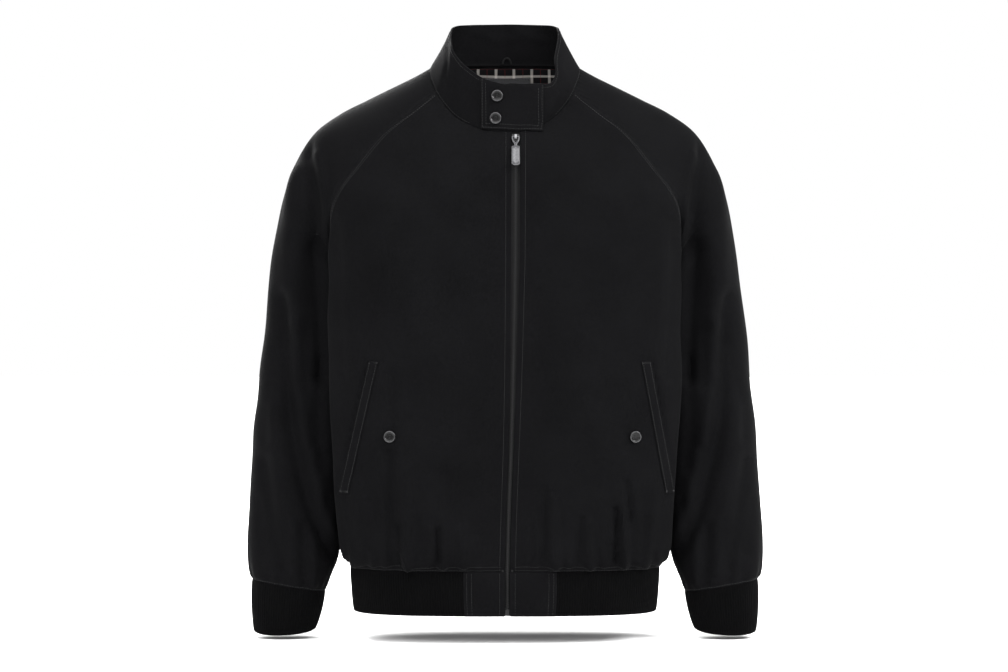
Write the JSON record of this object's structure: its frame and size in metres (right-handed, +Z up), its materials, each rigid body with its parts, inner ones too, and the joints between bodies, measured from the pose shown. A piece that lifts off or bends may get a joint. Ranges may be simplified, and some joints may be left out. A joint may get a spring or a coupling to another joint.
{
  "type": "bomber jacket",
  "caption": "Hip-length raglan jacket with a stand collar and throat tab, a front zip, slanted pockets and knitted cuffs and waistband, hollow as worn.",
  "frame": {"origin": "the middle of the neck opening, level with the points where the neck seam crosses the shoulders, which is where the wearer's shoulders hold the jacket", "axes": "+Z up, -Y to the front of the jacket, +X to the wearer's left"},
  "size_m": [0.668, 0.2218, 0.7962],
  "materials": {
    "cloth": "matte black cotton twill",
    "rib": "matte black ribbed knit",
    "lining": "woven check in black, off-white and red",
    "label": "plain grey woven tape",
    "tape": "black woven zip tape",
    "teeth": "dark satin",
    "button": "glossy black with four holes",
    "metal": "satin nickel"
  },
  "bodies": {
    "jacket": {"front_left": "cloth", "front_right": "cloth", "back": "cloth", "sleeve_left": "cloth", "sleeve_right": "cloth", "collar": "cloth", "collar_tab": "cloth", "waist_panel_left": "cloth", "waist_panel_right": "cloth", "waist_rib": "rib", "cuff_left": "rib", "cuff_right": "rib", "pocket_welt_left": "cloth", "pocket_welt_right": "cloth", "pocket_button_left": "button", "pocket_button_right": "button", "collar_button_top": "button", "collar_button_bottom": "button", "zip_tape_left": "tape", "zip_tape_right": "tape", "zip_chain": "teeth", "zip_box": "metal", "zip_slider": "metal", "back_lining": "lining", "neck_label": "label", "hanger_loop": "cloth"},
    "zip_pull": {"zip_pull": "metal"}
  },
  "joints": [
    {"name": "zip_pull_hinge", "type": "hinge", "parent": "jacket", "child": "zip_pull", "pos_m": [0.01352, -0.08566, -0.09495], "axis": [-1, 0, 0], "range_deg": [0, 145]}
  ]
}
